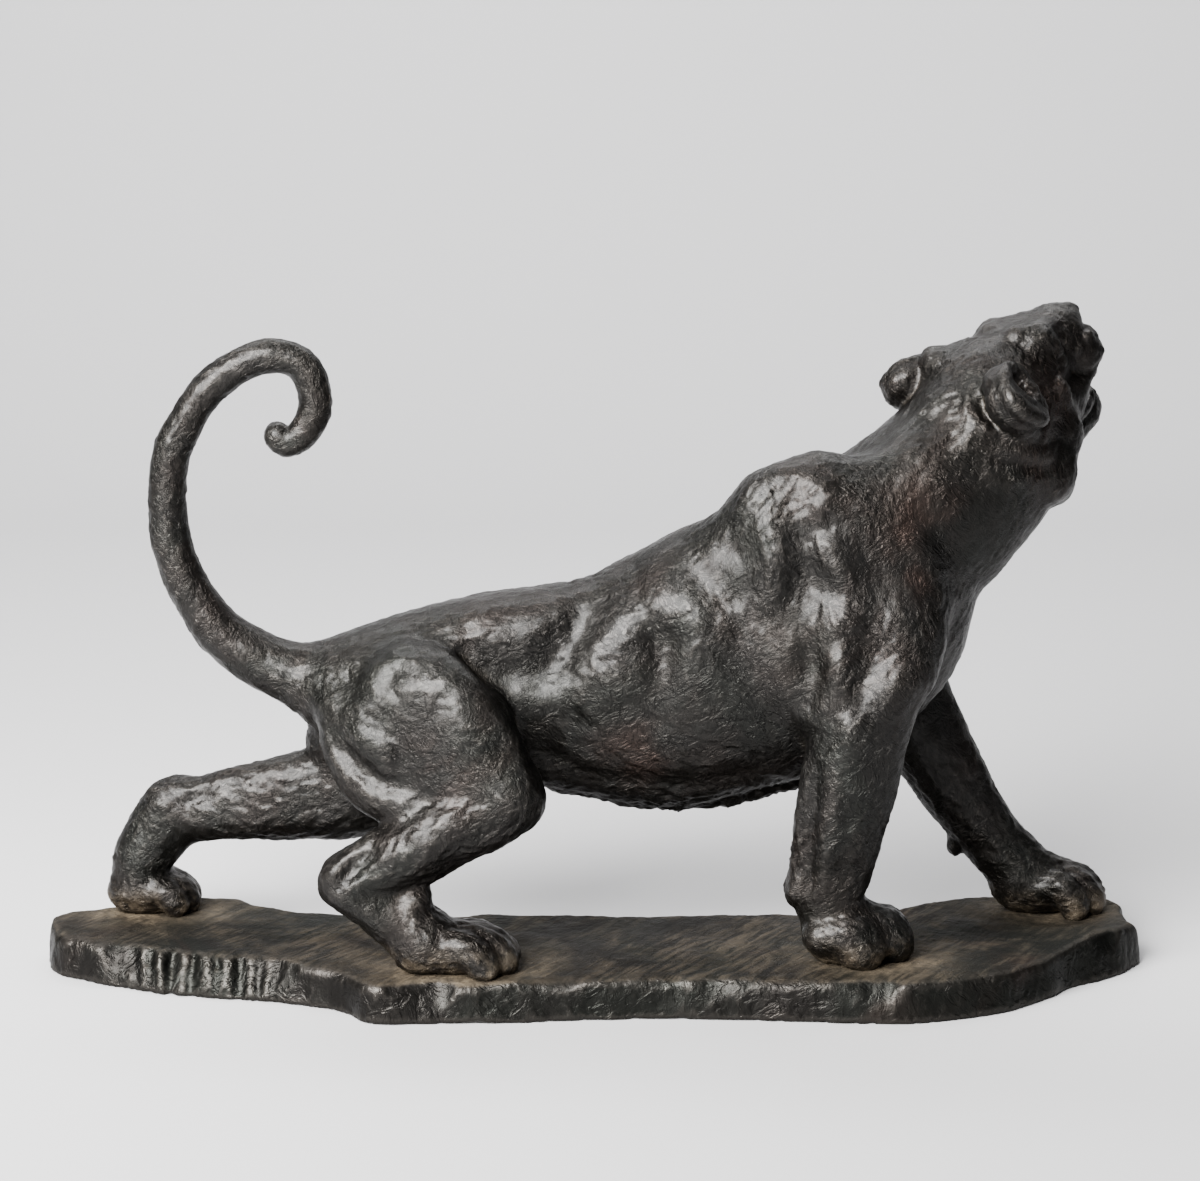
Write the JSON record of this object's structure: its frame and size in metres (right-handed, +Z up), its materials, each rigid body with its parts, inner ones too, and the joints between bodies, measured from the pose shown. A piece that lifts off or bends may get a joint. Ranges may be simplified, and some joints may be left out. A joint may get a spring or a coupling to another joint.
{
  "type": "tiger sculpture",
  "caption": "Cast bronze tiger with its head thrown back, mouth open and tail curled over, standing in mid stride on its own low rock-shaped base.",
  "frame": {"origin": "middle of the base's flat underside", "axes": "+Z up, +X towards the tiger's head, +Y to the tiger's left"},
  "size_m": [0.51, 0.1396, 0.3065],
  "materials": {
    "tiger_bronze": "dark brown patina over bronze, satin, with modelled hair strokes",
    "base_bronze": "dark brown patina over bronze, satin to matt, dusty in the hollows"
  },
  "bodies": {
    "root": {"tiger": "tiger_bronze", "base": "base_bronze"}
  },
  "joints": []
}
